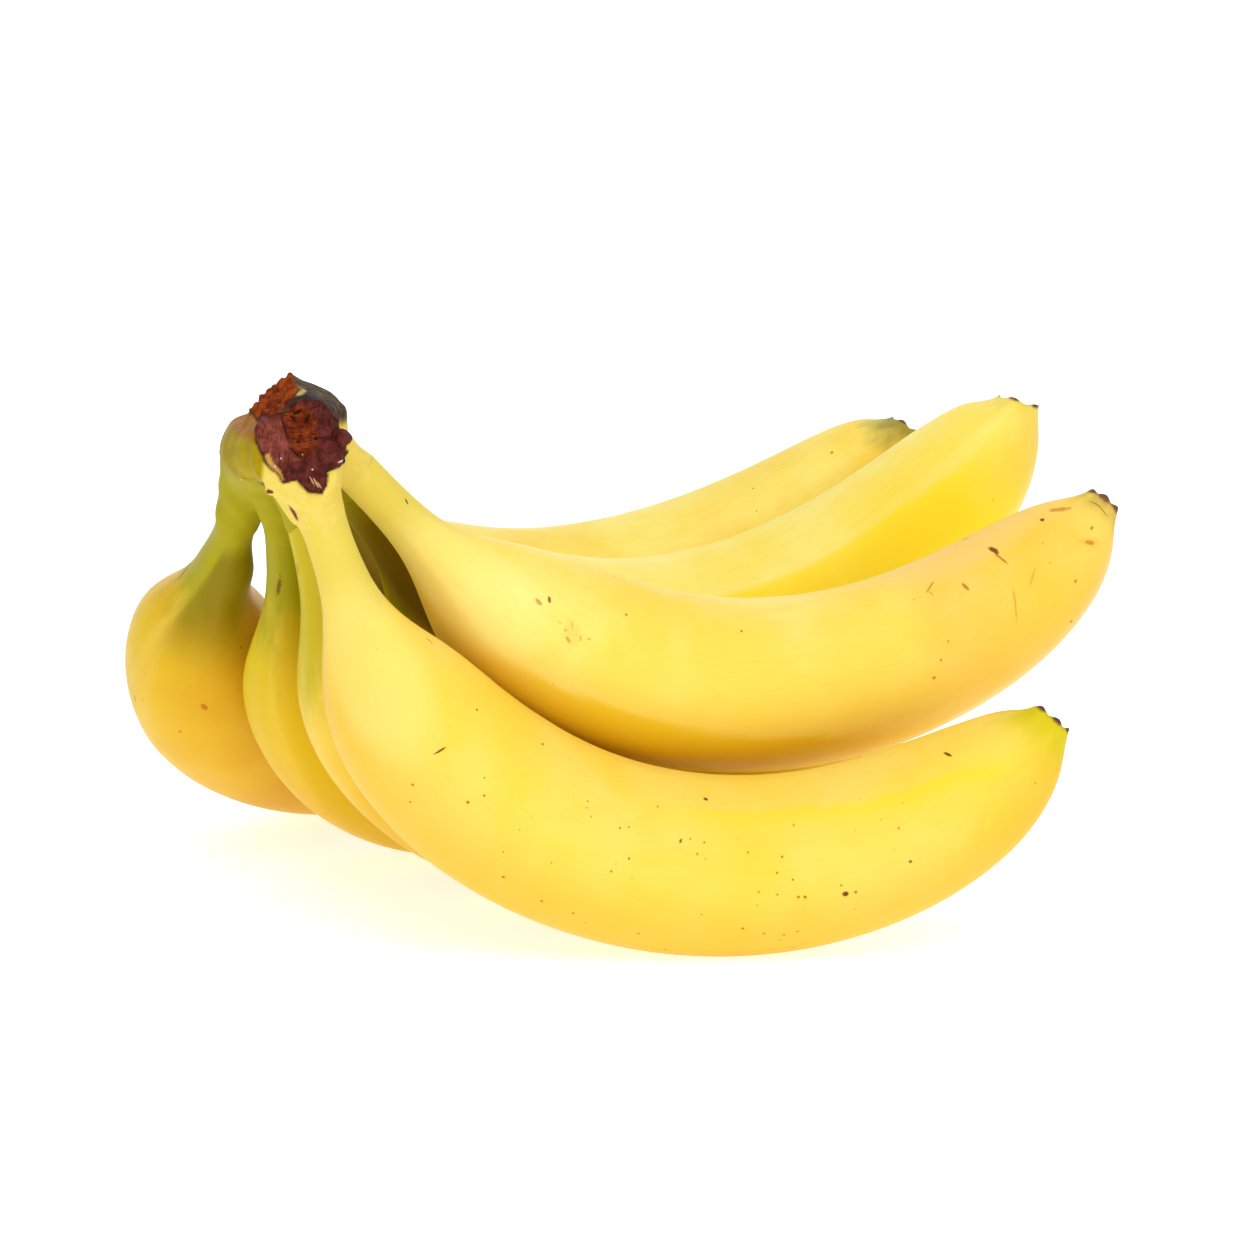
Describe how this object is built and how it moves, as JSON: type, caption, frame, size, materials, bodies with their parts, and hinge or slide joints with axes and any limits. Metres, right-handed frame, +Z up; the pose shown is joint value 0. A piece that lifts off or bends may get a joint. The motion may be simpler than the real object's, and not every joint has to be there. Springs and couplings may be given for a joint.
{
  "type": "bunch of bananas",
  "caption": "Bunch of ripe bananas joined at a cut crown, lying on its bellies with the tips curved up.",
  "frame": {"origin": "middle of the bounding box at its bottom, on the surface that the bunch lies on", "axes": "+Z up from the surface, +X from the crown towards the tips, +Y from the front banana towards the back of the bunch"},
  "size_m": [0.2223, 0.2076, 0.1222],
  "materials": {
    "banana_skin": "satin waxy peel, yellow with green-yellow stems",
    "crown": "dry brown fibrous cut, olive skin"
  },
  "bodies": {
    "root": {"crown": "crown", "banana_outer_1": "banana_skin", "banana_outer_2": "banana_skin", "banana_outer_3": "banana_skin", "banana_outer_4": "banana_skin", "banana_inner_1": "banana_skin", "banana_inner_2": "banana_skin", "banana_inner_3": "banana_skin"}
  },
  "joints": []
}
